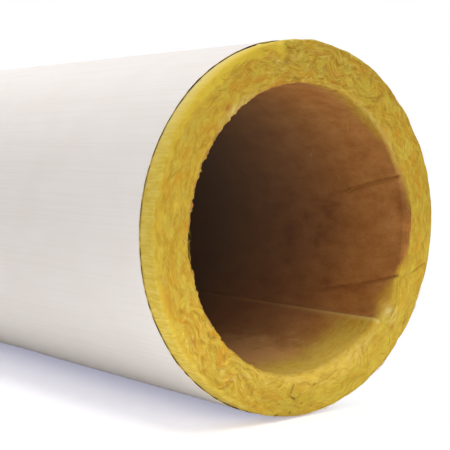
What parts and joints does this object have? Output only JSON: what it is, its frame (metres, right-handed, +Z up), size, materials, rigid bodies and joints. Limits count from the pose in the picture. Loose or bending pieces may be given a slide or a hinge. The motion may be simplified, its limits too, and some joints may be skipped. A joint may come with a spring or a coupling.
{
  "type": "fiberglass pipe insulation",
  "caption": "Slit glass-wool pipe section in a white lapped jacket, with a short bare end of wool, made to snap over a pipe and keep its heat in.",
  "frame": {"origin": "on the floor under the middle of the section, where the jacket rests", "axes": "+X along the bore towards the bare end of wool, +Z up; the slit is on the +Y side, below the axis"},
  "size_m": [0.9144, 0.2197, 0.2197],
  "materials": {
    "glass_wool": "matte bonded glass fibre, yellow outside and browned along the bore",
    "jacket_sheet": "matte white laminated paper"
  },
  "bodies": {
    "root": {"insulation": "glass_wool", "jacket": "jacket_sheet"}
  },
  "joints": []
}
